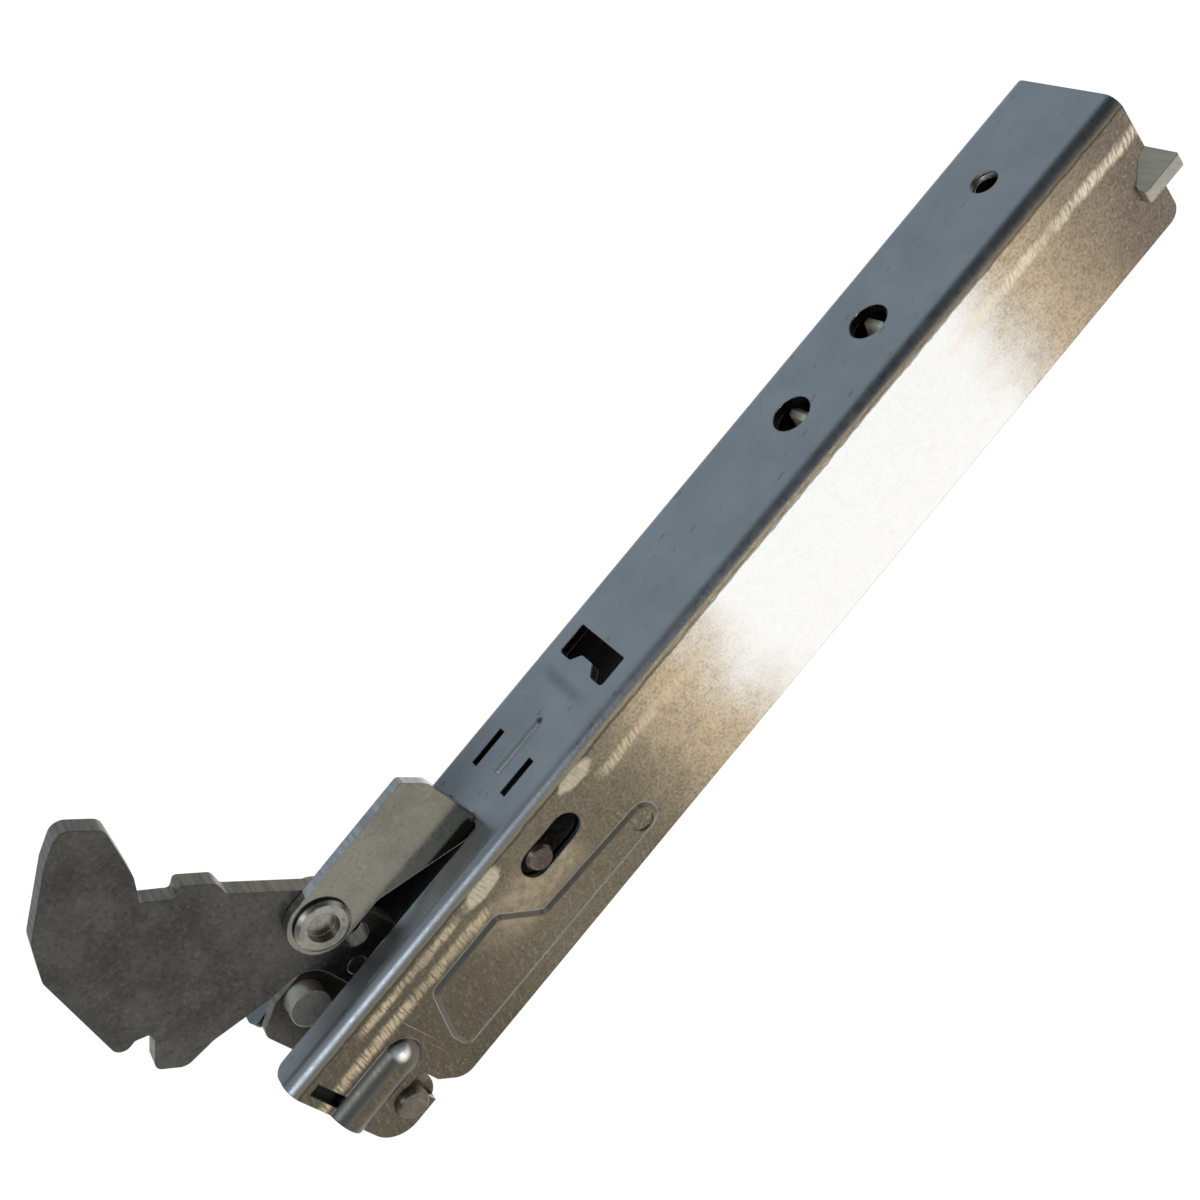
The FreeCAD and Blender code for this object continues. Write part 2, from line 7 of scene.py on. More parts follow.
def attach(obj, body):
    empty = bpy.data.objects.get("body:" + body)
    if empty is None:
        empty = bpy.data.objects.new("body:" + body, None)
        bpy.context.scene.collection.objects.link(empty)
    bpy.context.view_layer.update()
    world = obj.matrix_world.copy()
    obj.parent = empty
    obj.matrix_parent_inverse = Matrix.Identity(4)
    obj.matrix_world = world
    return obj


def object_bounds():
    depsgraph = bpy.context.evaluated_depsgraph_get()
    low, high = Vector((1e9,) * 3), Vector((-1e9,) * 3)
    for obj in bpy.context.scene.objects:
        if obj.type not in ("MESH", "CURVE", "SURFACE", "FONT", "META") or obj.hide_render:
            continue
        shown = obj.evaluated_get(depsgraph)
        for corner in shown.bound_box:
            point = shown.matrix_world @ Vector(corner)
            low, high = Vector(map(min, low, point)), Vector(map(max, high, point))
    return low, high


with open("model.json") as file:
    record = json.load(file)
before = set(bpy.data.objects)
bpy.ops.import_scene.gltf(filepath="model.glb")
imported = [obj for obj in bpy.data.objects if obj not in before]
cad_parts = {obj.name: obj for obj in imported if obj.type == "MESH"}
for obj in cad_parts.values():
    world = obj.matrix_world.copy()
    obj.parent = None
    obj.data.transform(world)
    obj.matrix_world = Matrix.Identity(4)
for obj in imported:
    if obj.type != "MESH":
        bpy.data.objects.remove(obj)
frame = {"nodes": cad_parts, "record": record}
cadBox = [list(map(float, corner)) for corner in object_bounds()]
nodes = frame["nodes"]
mm = 0.001
print("frame loaded:", len(nodes), "nodes")


# Camera: found from the photograph's straight edges and round holes
camera = {"place": (0.08731, 0.17207, 0.14004), "right": (-0.63919, 0.48733, -0.59493),
          "up": (-0.76862, -0.37912, 0.51526), "lens": 46.71, "sensor": 36, "nearest": 0.01}


def makeCamera():
    data = bpy.data.cameras.new("photoCamera")
    data.lens = camera["lens"]
    data.sensor_width = camera["sensor"]
    data.clip_start = camera["nearest"]
    item = bpy.data.objects.new("photoCamera", data)
    right, up = Vector(camera["right"]), Vector(camera["up"])
    turn = Matrix((right, up, right.cross(up))).transposed().to_4x4()
    item.matrix_world = Matrix.Translation(camera["place"]) @ turn
    bpy.context.collection.objects.link(item)
    bpy.context.scene.camera = item


makeCamera()
print("camera set")


# Node helpers for the finishes, the floor and the sky
class NodeTree:
    def __init__(self, tree):
        self.tree = tree

    def add(self, kind, **settings):
        node = self.tree.nodes.new("ShaderNode" + kind)
        for name, value in settings.items():
            setattr(node, name, value)
        return node

    def link(self, a, b):
        self.tree.links.new(a, b)

    def put(self, socket, value):
        if isinstance(value, bpy.types.NodeSocket):
            self.link(value, socket)
        else:
            socket.default_value = value

    def math(self, operation, a, b=0.0):
        node = self.add("Math", operation=operation)
        self.put(node.inputs[0], a)
        self.put(node.inputs[1], b)
        return node.outputs[0]

    def plus(self, a, b):
        return self.math("ADD", a, b)

    def minus(self, a, b):
        return self.math("SUBTRACT", a, b)

    def times(self, *values):
        # product of several values
        total = values[0]
        for value in values[1:]:
            total = self.math("MULTIPLY", total, value)
        return total

    def most(self, *values):
        # largest of several values
        total = values[0]
        for value in values[1:]:
            total = self.math("MAXIMUM", total, value)
        return total

    def fade(self, value, low, high, before=0.0, after=1.0):
        # smooth step of a value between two limits
        node = self.add("MapRange", interpolation_type="SMOOTHSTEP")
        self.put(node.inputs["Value"], value)
        limits = {"From Min": low, "From Max": high, "To Min": before, "To Max": after}
        for name, limit in limits.items():
            node.inputs[name].default_value = limit
        return node.outputs[0]

    def dot(self, a, b):
        node = self.add("VectorMath", operation="DOT_PRODUCT")
        self.put(node.inputs[0], a)
        self.put(node.inputs[1], b)
        return node.outputs["Value"]

    def parts(self, vector):
        node = self.add("SeparateXYZ")
        self.link(vector, node.inputs[0])
        return node.outputs

    def mix(self, factor, a, b):
        node = self.add("Mix", data_type="RGBA")
        self.put(node.inputs[0], factor)
        for socket, value in ((node.inputs[6], a), (node.inputs[7], b)):
            self.put(socket, (*value, 1.0) if isinstance(value, tuple) else value)
        return node.outputs[2]


# Rounded look of sheared edges: rays, and the lean from the flat face that counts as edge
softEdge = {"samples": 6, "lean": (0.80, 0.99, 1.0, 0.0)}


# Helpers on Object coordinates, with places and lengths in mm from the screw hole
class Finish(NodeTree):
    def __init__(self, name):
        self.material = bpy.data.materials.new(name)
        self.material.use_nodes = True
        super().__init__(self.material.node_tree)
        self.tree.nodes.clear()
        self.out = self.add("OutputMaterial")
        self.place = self.add("TexCoord").outputs["Object"]
        self.x, self.y, self.z = self.parts(self.place)

    def span(self, value, low, high, before=0.0, after=1.0):
        # fade between two places
        return self.fade(value, low * mm, high * mm, before, after)

    def band(self, value, middle, half, soft):
        # 1 within half of the middle, falling to 0 over soft
        away = self.math("ABSOLUTE", self.minus(value, middle * mm))
        return self.span(away, half, half + soft, 1.0, 0.0)

    def outside(self, mask):
        return self.minus(1.0, mask)

    def awayFrom(self, x, z, wide=1.0, deep=1.0):
        # squared distance from a place on the flange, counted in widths and depths
        dx = self.times(self.minus(self.x, x * mm), 1 / (wide * mm))
        dz = self.times(self.minus(self.z, z * mm), 1 / (deep * mm))
        return self.plus(self.times(dx, dx), self.times(dz, dz))

    def noise(self, scale, detail, rough, stretch=None):
        spot = self.place
        if stretch:
            drawn = self.add("Mapping")
            drawn.inputs["Scale"].default_value = stretch
            self.link(self.place, drawn.inputs["Vector"])
            spot = drawn.outputs[0]
        node = self.add("TexNoise")
        node.inputs["Scale"].default_value = scale
        node.inputs["Detail"].default_value = detail
        node.inputs["Roughness"].default_value = rough
        self.link(spot, node.inputs["Vector"])
        return node.outputs[0]

    def strokes(self, across, along, fineness, length, detail=2.0):
        # noise drawn out along one direction, which breaks up into short strokes
        spot = self.add("CombineXYZ")
        self.put(spot.inputs[0], self.times(across, fineness))
        self.put(spot.inputs[1], self.times(along, length))
        node = self.add("TexNoise")
        node.inputs["Scale"].default_value = 1.0
        node.inputs["Detail"].default_value = detail
        self.link(spot.outputs[0], node.inputs["Vector"])
        return node.outputs[0]

    def wobble(self, noise, reach):
        # shift to either side by up to half the reach
        return self.times(self.minus(noise, 0.5), reach * mm)

    def facing(self):
        # the way a face looks, as its three parts
        return self.parts(self.add("NewGeometry").outputs["Normal"])

    def facingSide(self):
        # how squarely a face looks across the channel
        return self.math("ABSOLUTE", self.facing()[1])

    def softEdges(self, radius):
        # rounded normals at sheared edges, and how far they lean from the flat face
        node = self.add("Bevel", samples=softEdge["samples"])
        node.inputs["Radius"].default_value = radius * mm
        lean = self.dot(node.outputs[0], self.add("NewGeometry").outputs["Normal"])
        return node.outputs[0], self.fade(lean, *softEdge["lean"])

    def bump(self, height, depth, normal, strength):
        node = self.add("Bump")
        node.inputs["Strength"].default_value = strength
        node.inputs["Distance"].default_value = depth * mm
        self.link(height, node.inputs["Height"])
        self.link(normal, node.inputs["Normal"])
        return node.outputs[0]

    def done(self, colour, rough, normal, metal):
        shader = self.add("BsdfPrincipled")
        self.put(shader.inputs["Base Color"], colour)
        self.put(shader.inputs["Roughness"], rough)
        self.link(normal, shader.inputs["Normal"])
        shader.inputs["Metallic"].default_value = metal
        self.link(shader.outputs[0], self.out.inputs[0])
        return self.material


# Galvanised sheet of the channel, with painted reflection along the flange: tan at the far end, a painted
# highlight in the middle, darker brown at the hook end. A fade is (from, to, weight before, weight after),
# a band is (middle, half width, soft border).
sheet = {
    "zinc": (0.21, 0.168, 0.127), "gold": (0.66, 0.52, 0.34), "paintedHighlight": (1.0, 0.99, 0.95),
    # the grime colour darkens real dirt and also paints shade in the web crease, beside the latch and along
    # the bend
    "brown": (0.18, 0.152, 0.104), "deep": (0.100, 0.086, 0.058), "grimeAndShade": (0.045, 0.04, 0.034),
    "web": (0.42, 0.42, 0.41), "slopeShade": (0.135, 0.122, 0.098), "bend": (0.30, 0.25, 0.17),
    "rubPale": (0.94, 0.82, 0.62), "rub": (0.66, 0.53, 0.35), "pad": (0.58, 0.51, 0.37),
    "inside": (0.007, 0.0065, 0.006),
    # roughness, which polish lowers where the painted highlight lies; radius of soft edges, and how far
    # they darken
    "metal": 0.9, "rough": (0.26, 0.38), "polish": 0.55, "edge": 0.35, "edgeShare": 0.20,
    # noises as scale, detail, roughness; strokes as fineness, length
    "cloud": (110, 4, 0.6), "mottle": (700, 4, 0.6), "fine": (2600, 3, 0.6), "ragged": (420, 3, 0.6),
    "grit": (2000, 2, 0.6), "brush": (2200, 420), "brushLean": 0.5,
    # zones along the flange, with wandering borders: painted reflection rising to a painted highlight in
    # the middle and darkening towards the hook end; the sheen zone is where the painted highlight lies,
    # with thinner dirt
    "zones": (("gold", (-15, 14)), ("paintedHighlight", (6, 24)), ("gold", (68, 86)), ("brown", (80, 104)),
              ("deep", (118, 142, 0.0, 0.8))),
    "zoneWander": 12, "sheenZone": (46, 20, 22), "soilOnSheen": 0.12,
    # dirt and rubbed flecks on the flange
    "mottleDirt": (0.42, 0.72, 0.0, 0.22), "fineDirt": (0.28, 0.52, 0.24, 0.0),
    "gritDirt": (0.34, 0.54, 0.34, 0.0), "fleck": (0.58, 0.72, 0.0, 0.40),
    "fleckAlong": (85, 120, 1.0, 0.4), "brushed": (0.52, 0.74, 0.0, 0.12),
    # thin scratches beside the dome, and the paler patch before the pressed field
    "scratch": (1900, 22), "scratchFade": (0.66, 0.72), "scratchShare": 0.4,
    "scratchAlong": (143.5, 4, 4), "scratchDown": (-11, 4, 4),
    "patchAlong": (118, 4, 8), "patchDown": (-10.5, 1.5, 4), "patchFade": (0.35, 0.65, 0.14, 0.42),
    # grey web, its specks, the crease beside the window with painted shade in it, and painted shade on the
    # far edge beside the latch
    "webCloud": (0.30, 0.70, 0.0, 0.14), "speck": (900, 2, 0.4, (0.35, 1, 1)),
    "speckFade": (0.68, 0.76, 0.0, 0.35), "crease": (94.6, 0.1, 1.5), "creaseAcross": (-0.5, 3.0, 4.0),
    "creaseWander": 0.6, "creaseShadeShare": 0.30, "latchShadeAlong": (94, 120), "latchShadeAcross": (-7, 4, 0.50, 0.0),
    # which way faces look: flange, lower half of the bend with its painted warm reflection, underside of
    # what stands out, painted paler
    "flangeFacing": (0.945, 0.998), "bendFacing": (0.78, 0.93), "underFacing": (-0.50, -0.25, 1.0, 0.0),
    "underEnd": 144.5, "raisedFrom": (10.52, 10.60),
    # painted highlight on the crown of the dome, and painted shade as a dark line where the bend runs out
    # into the flange
    "glintAt": (147.9, -9.9), "glintFade": (0.5, 1.6, 1.0, 0.0), "glintAbove": 11.0,
    "bendLine": (-1.60, 0.10, 0.22), "lineWander": 0.7, "lineFacing": (0.6, 0.8), "lineShare": 0.65,
    # rows of slanting strokes: the long one stops at two gaps, the short one is near the hook end
    "slant": (2300, 300, 4), "slantLean": 0.30, "slantWander": 1.2, "slantFade": (0.36, 0.58, 0.20, 1.0),
    "slantCloud": (0.25, 0.55, 0.45, 1.0), "rowWander": 1.6, "longRow": (-6.5, 0.30, 1.10),
    "longRowGaps": ((112.5, 10.5, 4), (50, 22, 12)), "shortRow": (-3.3, 0.21, 0.77),
    "shortRowAlong": (138.5, 8.5, 3), "rubAlong": (40, 100), "rubShare": 0.85,
    # worn pads as place along, place down, half length
    "pads": ((122.9, -3.0, 4.3), (102.7, -2.9, 3.6)), "padHalfDepth": 1.7, "padWander": 1.6,
    "padFade": (1.3, 1.9, 1.0, 0.0), "ridges": (2400, 500), "ridgeFade": (0.30, 0.60, 0.55, 1.0),
    "padShare": 0.85,
    # painted shade: near-black inside of the channel, and the rims of the openings in the web
    "innerHalf": 9.75, "innerTop": -1.2, "rimHalf": 8.0, "rimTop": -0.15,
    # gloss from mottle and brush marks, and relief
    "grainShares": (0.6, 0.4), "grainFade": (0.3, 0.7), "reliefFine": 0.30, "reliefWear": 0.8,
    "reliefCrease": 2.0, "reliefDepth": 0.05, "reliefShare": 0.5,
}


def flangeTone(f):
    tone = sheet["zinc"]
    # painted reflection: the zones brighten the flange to a painted highlight in the middle and darken it
    # towards the hook end
    for colour, limits in sheet["zones"]:
        tone = f.mix(f.span(f.along, *limits), tone, sheet[colour])
    # dirt is thinner where the painted highlight lies
    soiled = f.fade(f.clean, 0.0, 1.0, 1.0, sheet["soilOnSheen"])
    for noise, layer in ((f.mottle, "mottleDirt"), (f.fine, "fineDirt"), (f.grit, "gritDirt")):
        tone = f.mix(f.times(soiled, f.fade(noise, *sheet[layer])), tone, sheet["grimeAndShade"])
    fleck = f.times(soiled, f.fade(f.grit, *sheet["fleck"]), f.span(f.x, *sheet["fleckAlong"]))
    tone = f.mix(fleck, tone, sheet["rub"])
    tone = f.mix(f.times(soiled, f.fade(f.brush, *sheet["brushed"])), tone, sheet["rub"])
    scratch = f.fade(f.strokes(f.x, f.z, *sheet["scratch"]), *sheet["scratchFade"])
    scratch = f.times(scratch, f.band(f.x, *sheet["scratchAlong"]), f.band(f.z, *sheet["scratchDown"]))
    tone = f.mix(f.times(scratch, sheet["scratchShare"]), tone, sheet["rub"])
    patch = f.times(f.band(f.along, *sheet["patchAlong"]), f.band(f.z, *sheet["patchDown"]))
    return f.mix(f.times(patch, f.fade(f.mottle, *sheet["patchFade"])), tone, sheet["rub"])


def webCrease(f):
    bent = f.plus(f.x, f.times(f.ragged, sheet["creaseWander"] * mm))
    return f.times(f.band(bent, *sheet["crease"]), f.outside(f.flange), f.band(f.y, *sheet["creaseAcross"]))


def webTone(f, crease):
    plain = f.mix(f.fade(f.cloud, *sheet["webCloud"]), sheet["web"], sheet["grimeAndShade"])
    specks = f.fade(f.noise(*sheet["speck"]), *sheet["speckFade"])
    plain = f.mix(specks, plain, sheet["grimeAndShade"])
    # painted shade darkening the web crease; its relief is the bump further down
    plain = f.mix(f.times(crease, sheet["creaseShadeShare"]), plain, sheet["grimeAndShade"])
    # painted shade on the web's far edge beside the latch
    latchShade = f.times(f.span(f.x, *sheet["latchShadeAlong"]), f.span(f.y, *sheet["latchShadeAcross"]))
    plain = f.mix(latchShade, plain, sheet["grimeAndShade"])
    # painted reflection: warm tint on the lower half of the bend
    plain = f.mix(f.fade(f.facingSide(), *sheet["bendFacing"]), plain, sheet["bend"])
    # sloping sides of what stands out of the flange: painted light and shade, paler on the underside and
    # darker elsewhere
    litUnderside = f.times(f.fade(f.facing()[2], *sheet["underFacing"]),
                    f.math("LESS_THAN", f.x, sheet["underEnd"] * mm))
    slopeLightAndShade = f.mix(litUnderside, sheet["slopeShade"], sheet["web"])
    return f.mix(f.span(f.math("ABSOLUTE", f.y), *sheet["raisedFrom"]), plain, slopeLightAndShade)


def rubbedRows(f):
    # strokes rubbed in by the folding tool
    leaning = f.plus(f.x, f.times(f.z, sheet["slantLean"]))
    leaning = f.plus(leaning, f.times(f.ragged, sheet["slantWander"] * mm))
    slant = f.fade(f.strokes(leaning, f.z, *sheet["slant"]), *sheet["slantFade"])
    slant = f.times(slant, f.fade(f.cloud, *sheet["slantCloud"]))
    down = f.plus(f.z, f.wobble(f.ragged, sheet["rowWander"]))
    longRow = f.band(down, *sheet["longRow"])
    for gap in sheet["longRowGaps"]:
        longRow = f.times(longRow, f.outside(f.band(f.x, *gap)))
    shortRow = f.times(f.band(down, *sheet["shortRow"]), f.band(f.x, *sheet["shortRowAlong"]))
    return f.times(f.most(longRow, shortRow), f.flange, slant)


def wornPads(f):
    # oval pads with cross ridges, longer along the channel
    shapes = []
    for x, z, half in sheet["pads"]:
        away = f.awayFrom(x, z, half, sheet["padHalfDepth"])
        shapes.append(f.fade(f.plus(away, f.times(f.ragged, sheet["padWander"])), *sheet["padFade"]))
    ridges = f.fade(f.strokes(f.x, f.z, *sheet["ridges"]), *sheet["ridgeFade"])
    return f.times(f.most(*shapes), f.flange, ridges)


# mask for painted shade: the channel's inner faces and the rims of the web openings
def insideShadeMask(f):
    away = f.math("ABSOLUTE", f.y)
    within = f.times(f.math("LESS_THAN", away, sheet["innerHalf"] * mm),
                     f.math("LESS_THAN", f.z, sheet["innerTop"] * mm))
    rims = f.times(f.math("LESS_THAN", away, sheet["rimHalf"] * mm),
                   f.math("LESS_THAN", f.z, sheet["rimTop"] * mm))
    return f.most(within, rims)


def galvanisedSheet():
    f = Finish("galvanisedSheet")
    normal, edge = f.softEdges(sheet["edge"])
    f.flange = f.fade(f.facingSide(), *sheet["flangeFacing"])
    noises = ("cloud", "mottle", "fine", "ragged", "grit")
    f.cloud, f.mottle, f.fine, f.ragged, f.grit = (f.noise(*sheet[name]) for name in noises)
    f.brush = f.strokes(f.plus(f.x, f.times(f.z, sheet["brushLean"])), f.z, *sheet["brush"])
    f.along = f.plus(f.x, f.wobble(f.cloud, sheet["zoneWander"]))
    # place of the painted highlight in the middle of the flange
    f.clean = f.band(f.along, *sheet["sheenZone"])
    crease, rub, worn = webCrease(f), rubbedRows(f), wornPads(f)

    tone = f.mix(f.flange, webTone(f, crease), flangeTone(f))
    # painted highlight on the dome's crown
    domeGlint = f.fade(f.math("SQRT", f.awayFrom(*sheet["glintAt"])), *sheet["glintFade"])
    domeGlint = f.times(domeGlint, f.math("GREATER_THAN", f.y, sheet["glintAbove"] * mm))
    tone = f.mix(domeGlint, tone, sheet["paintedHighlight"])
    # painted shade: dark line where the bend runs out into the flange
    shadeLine = f.band(f.plus(f.z, f.times(f.ragged, sheet["lineWander"] * mm)), *sheet["bendLine"])
    shadeLine = f.times(shadeLine, f.fade(f.facingSide(), *sheet["lineFacing"]), sheet["lineShare"])
    tone = f.mix(shadeLine, tone, sheet["grimeAndShade"])
    rubTone = f.mix(f.span(f.x, *sheet["rubAlong"]), sheet["rubPale"], sheet["rub"])
    tone = f.mix(f.times(rub, sheet["rubShare"]), tone, rubTone)
    tone = f.mix(f.times(worn, sheet["padShare"]), tone, sheet["pad"])
    tone = f.mix(f.times(edge, sheet["edgeShare"]), tone, sheet["grimeAndShade"])
    # painted shade, near black, over the channel's inner faces and the rims of its openings
    tone = f.mix(insideShadeMask(f), tone, sheet["inside"])

    mottleShare, brushShare = sheet["grainShares"]
    grain = f.plus(f.times(f.mottle, mottleShare), f.times(f.brush, brushShare))
    rough = f.fade(grain, *sheet["grainFade"], *sheet["rough"])
    rough = f.times(rough, f.fade(f.times(f.clean, f.flange), 0.0, 1.0, 1.0, sheet["polish"]))
    height = f.plus(f.times(f.fine, sheet["reliefFine"]), f.times(f.most(rub, worn), sheet["reliefWear"]))
    height = f.minus(height, f.times(crease, sheet["reliefCrease"]))
    normal = f.bump(height, sheet["reliefDepth"], normal, sheet["reliefShare"])
    return f.done(tone, rough, normal, sheet["metal"])


# Rolled steel of the arm and links: dark brown-grey scale on the faces, bright sheared edges
armSteel = {"dark": (0.056, 0.053, 0.046), "pale": (0.098, 0.093, 0.080), "worn": (0.26, 0.245, 0.215),
            "pit": (0.018, 0.017, 0.015), "cut": (0.34, 0.285, 0.205), "rough": (0.30, 0.46), "metal": 0.85,
            "edge": 0.30, "relief": 0.45}
latchSteel = {"dark": (0.175, 0.165, 0.135), "pale": (0.225, 0.213, 0.175), "worn": (0.36, 0.34, 0.29),
              "pit": (0.12, 0.11, 0.09), "cut": (0.55, 0.53, 0.49), "rough": (0.12, 0.20), "metal": 0.92,
              "edge": 0.30, "relief": 0.08}
pinSteel = {"dark": (0.080, 0.062, 0.044), "pale": (0.19, 0.16, 0.12), "worn": (0.45, 0.41, 0.34),
            "pit": (0.02, 0.016, 0.012), "cut": (0.34, 0.30, 0.24), "rough": (0.26, 0.44), "metal": 0.85,
            "edge": 0.25, "relief": 0.45}
rivetSteel = {"dark": (0.19, 0.18, 0.155), "pale": (0.33, 0.31, 0.27), "worn": (0.60, 0.57, 0.50),
              "pit": (0.06, 0.055, 0.045), "cut": (0.42, 0.38, 0.30), "rough": (0.22, 0.36), "metal": 0.9,
              "edge": 0.25, "relief": 0.30}
# spring wire: its pale cream tones are painted light, standing in for sunlight reaching the wire inside the
# channel
sunlitWireSteel = {"dark": (0.84, 0.70, 0.47), "pale": (0.97, 0.86, 0.63), "worn": (0.98, 0.92, 0.76),
             "pit": (0.40, 0.32, 0.20), "cut": (0.96, 0.85, 0.62), "rough": (0.35, 0.48), "metal": 0.10,
             "edge": 0.50, "relief": 0.30}
strapSteel = {"dark": (0.38, 0.36, 0.31), "pale": (0.50, 0.47, 0.40), "worn": (0.62, 0.56, 0.45),
              "pit": (0.16, 0.14, 0.11), "cut": (0.60, 0.50, 0.33), "rough": (0.30, 0.44), "metal": 0.8,
              "edge": 0.25, "relief": 0.35}
# stop stud: grey-gold steel, made paler with painted light standing in for its sunlit top and bright
# reflections
sunlitStudSteel = {"dark": (0.46, 0.43, 0.35), "pale": (0.66, 0.61, 0.50), "worn": (0.82, 0.77, 0.66),
             "pit": (0.20, 0.18, 0.14), "cut": (0.60, 0.54, 0.42), "rough": (0.34, 0.48), "metal": 0.55,
             "edge": 0.25, "relief": 0.30}
# what these steels share; shear marks run across the thickness of a cut edge
rolled = {"cloud": (140, 4, 0.6), "speck": (1700, 3, 0.6), "shear": (1600, 2, 0.5, (1, 0.1, 1)),
          "paleFade": (0.34, 0.66), "wornFade": (0.52, 0.76, 0.0, 0.26), "pitFade": (0.28, 0.48, 0.50, 0.0),
          "cutFacing": (0.3, 0.7, 1.0, 0.0), "shearFade": (0.30, 0.70, 0.5, 1.0), "edgeShare": 0.40,
          "grainShares": (0.5, 0.5), "grainFade": (0.3, 0.7), "reliefDepth": 0.04}


def rolledSteel(name, tones):
    f = Finish(name)
    normal, edge = f.softEdges(tones["edge"])
    cloud = f.noise(*rolled["cloud"])
    speck = f.noise(*rolled["speck"])
    tone = f.mix(f.fade(cloud, *rolled["paleFade"]), tones["dark"], tones["pale"])
    tone = f.mix(f.fade(speck, *rolled["wornFade"]), tone, tones["worn"])
    tone = f.mix(f.fade(speck, *rolled["pitFade"]), tone, tones["pit"])
    shear = f.fade(f.noise(*rolled["shear"]), *rolled["shearFade"])
    cut = f.times(f.fade(f.facingSide(), *rolled["cutFacing"]), shear)
    tone = f.mix(cut, tone, tones["cut"])
    tone = f.mix(f.times(edge, rolled["edgeShare"]), tone, tones["worn"])
    speckShare, cloudShare = rolled["grainShares"]
    grain = f.plus(f.times(speck, speckShare), f.times(cloud, cloudShare))
    rough = f.fade(grain, *rolled["grainFade"], *tones["rough"])
    normal = f.bump(speck, rolled["reliefDepth"], normal, tones["relief"])
    return f.done(tone, rough, normal, tones["metal"])


rivetFinish = rolledSteel("rivetSteel", rivetSteel)
# nodes whose finish differs from their slot's
ownFinish = {"latch_rivet": rivetFinish, "doubler_rivet_1": rivetFinish, "doubler_rivet_2": rivetFinish,
             "link_pin": rivetFinish, "anchor_strap": rolledSteel("strapSteel", strapSteel),
             "stop_stud": rolledSteel("sunlitStudSteel", sunlitStudSteel)}
finishes = {"galvanised_sheet": galvanisedSheet(), "arm_steel": rolledSteel("armSteel", armSteel),
            "latch_steel": rolledSteel("latchSteel", latchSteel),
            "pin_steel": rolledSteel("pinSteel", pinSteel),
            "spring_wire": rolledSteel("sunlitWireSteel", sunlitWireSteel)}
for part in frame["record"]["subparts"]:
    mesh = nodes[part["node"]].data
    mesh.materials.clear()
    mesh.materials.append(ownFinish.get(part["node"]) or finishes[part["material_slot"]])


# Screw thread inside the tapped hole, in mm; its root is sunk into the wall and its ends run out
thread = {"radius": 2.15, "height": 0.28, "pitch": 0.8, "depth": 1.5, "sunk": 0.02, "inset": 0.02,
          "runOut": 12, "turnSteps": 96, "depthSteps": 40, "slot": "galvanised_sheet"}


def makeThread():
    # radius over angle and depth: a ridge that rises by one pitch each turn
    turnSteps, depthSteps = thread["turnSteps"], thread["depthSteps"]
    around, down = np.meshgrid(np.linspace(0, 2 * np.pi, turnSteps + 1),
                               np.linspace(0, 1, depthSteps + 1), indexing="ij")
    z = -thread["inset"] - down * (thread["depth"] - 2 * thread["inset"])
    phase = (z / thread["pitch"] + around / (2 * np.pi)) % 1.0
    slopeShade = 1 - np.abs(2 * phase - 1)
    ends = np.minimum(1, np.minimum(down, 1 - down) * thread["runOut"])
    r = thread["radius"] + thread["sunk"] - thread["height"] * slopeShade * ends
    points = np.stack([r * np.cos(around), r * np.sin(around), z], -1).reshape(-1, 3) * mm
    i, j = np.meshgrid(np.arange(turnSteps), np.arange(depthSteps), indexing="ij")
    row = depthSteps + 1
    a = i * row + j
    faces = np.stack([a, a + 1, a + row + 1, a + row], -1).reshape(-1, 4)
    mesh = bpy.data.meshes.new("screwThread")
    mesh.from_pydata(points.tolist(), [], faces.tolist())
    mesh.validate()
    mesh.polygons.foreach_set("use_smooth", np.ones(len(mesh.polygons), bool))
    mesh.materials.append(rivetFinish)
    item = bpy.data.objects.new("screwThread", mesh)
    bpy.context.collection.objects.link(item)
    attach(item, "channel")


makeThread()
print("thread made")


# Floor and light, in metres
stage = {"floor": 20.0, "paper": (0.9, 0.9, 0.9), "glow": 1.1, "glowShare": 0.94, "glowOut": (0.10, 0.25),
         "glowFar": 0.12, "sky": (0.39, 0.475, 0.57), "shade": (0.022, 0.022, 0.024),
         "shadeSide": (-0.55, 0.45, 0.70), "shadeFrom": (0.52, 0.93)}
lamps = (
    {"name": "sideWarm", "place": (-0.02, 0.75, 0.09), "aim": (0.09, 0.0, 0.0), "size": (0.26, 0.18),
     "power": 0.36, "colour": (1.0, 0.86, 0.66)},
    {"name": "overCool", "place": (0.42, 0.50, 0.57), "aim": (0.14, 0.0, 0.0), "size": (0.34, 0.28),
     "power": 0.95, "colour": (0.80, 0.88, 1.0)},
)


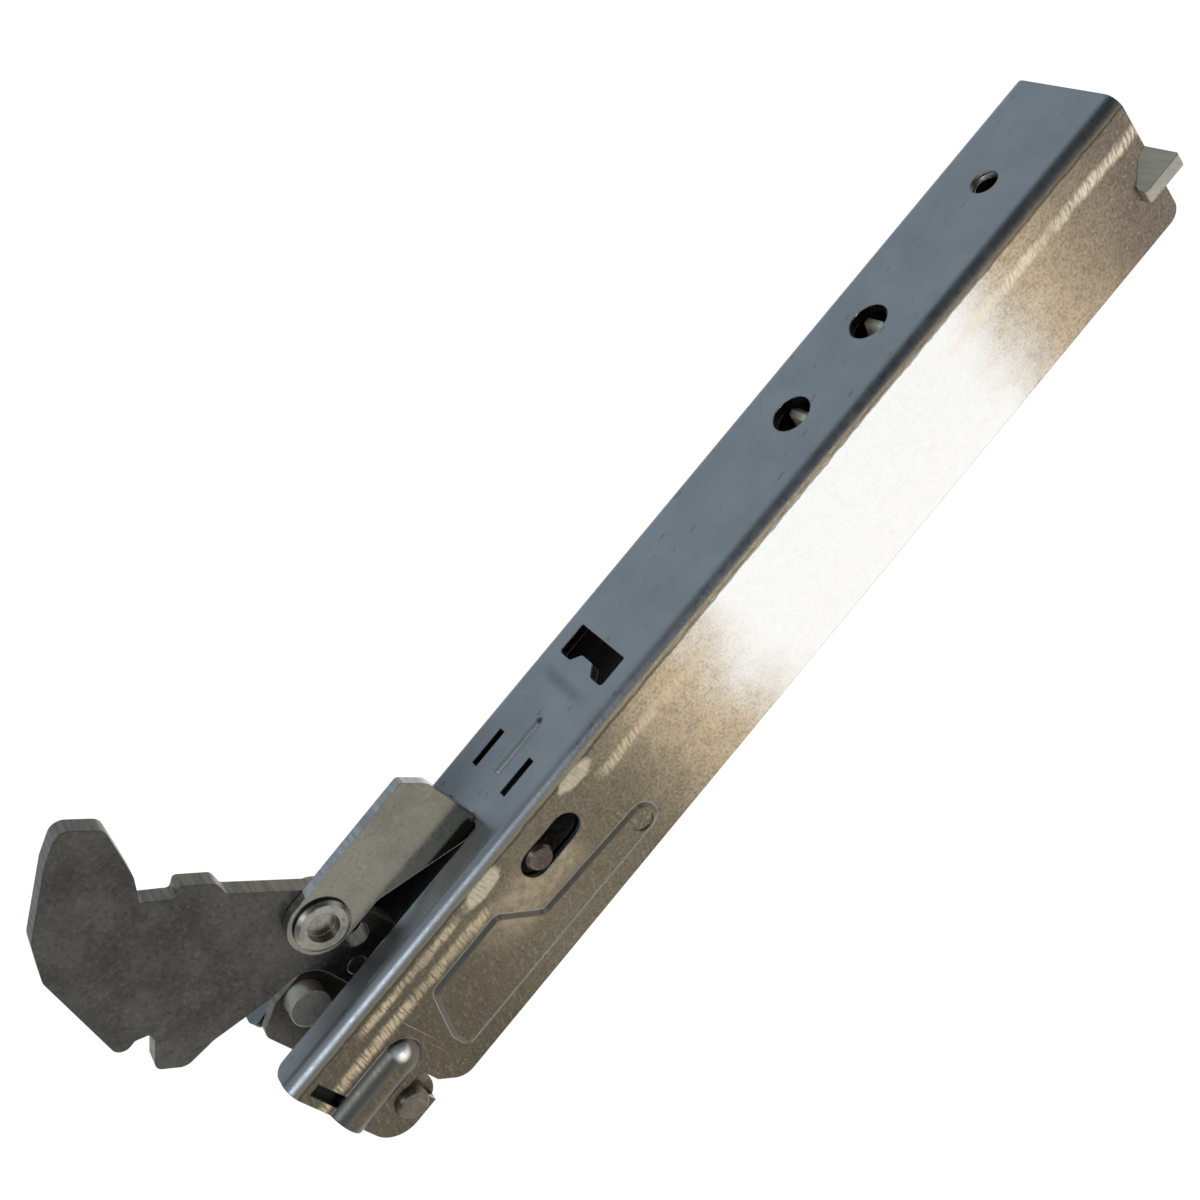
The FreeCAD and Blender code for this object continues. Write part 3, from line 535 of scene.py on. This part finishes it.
def palePaper():
    # white to the camera; in reflections white beside the object and darker further out
    f = Finish("palePaper")
    glow = f.add("Emission")
    glow.inputs["Strength"].default_value = stage["glow"]
    dull = f.add("BsdfDiffuse")
    dull.inputs["Color"].default_value = (*stage["paper"], 1)
    seen = f.add("LightPath").outputs
    near = f.fade(f.math("ABSOLUTE", f.y), *stage["glowOut"], 1.0, stage["glowFar"])
    mirrored = f.times(seen["Is Glossy Ray"], near)
    white = f.most(seen["Is Camera Ray"], mirrored, seen["Is Transmission Ray"])
    blend = f.add("MixShader")
    f.link(f.times(white, stage["glowShare"]), blend.inputs[0])
    f.link(dull.outputs[0], blend.inputs[1])
    f.link(glow.outputs[0], blend.inputs[2])
    f.link(blend.outputs[0], f.out.inputs[0])
    return f.material


def makeStage():
    half = stage["floor"] / 2
    low = cadBox[0][2]
    corners = [(-half, -half, low), (half, -half, low), (half, half, low), (-half, half, low)]
    mesh = bpy.data.meshes.new("floor")
    mesh.from_pydata(corners, [], [(0, 1, 2, 3)])
    mesh.materials.append(palePaper())
    floor = bpy.data.objects.new("floor", mesh)
    bpy.context.collection.objects.link(floor)


def makeSky():
    # cool sky all round, with a dark patch high up on one side
    world = bpy.data.worlds.new("studio")
    bpy.context.scene.world = world
    world.use_nodes = True
    n = NodeTree(world.node_tree)
    way = n.add("TexCoord").outputs["Generated"]
    shaded = n.fade(n.dot(way, stage["shadeSide"]), *stage["shadeFrom"])
    sky = n.mix(shaded, stage["sky"], stage["shade"])
    n.link(sky, world.node_tree.nodes["Background"].inputs["Color"])


def makeLamps():
    for lamp in lamps:
        data = bpy.data.lights.new(lamp["name"], "AREA")
        data.shape = "RECTANGLE"
        data.size, data.size_y = lamp["size"]
        data.energy = lamp["power"]
        data.color = lamp["colour"]
        item = bpy.data.objects.new(lamp["name"], data)
        place = Vector(lamp["place"])
        item.location = place
        item.rotation_euler = (Vector(lamp["aim"]) - place).to_track_quat("-Z", "Y").to_euler()
        item.visible_camera = False
        bpy.context.collection.objects.link(item)


makeStage()
makeSky()
makeLamps()
bpy.context.scene.view_settings.view_transform = "Standard"
print("stage and light set")
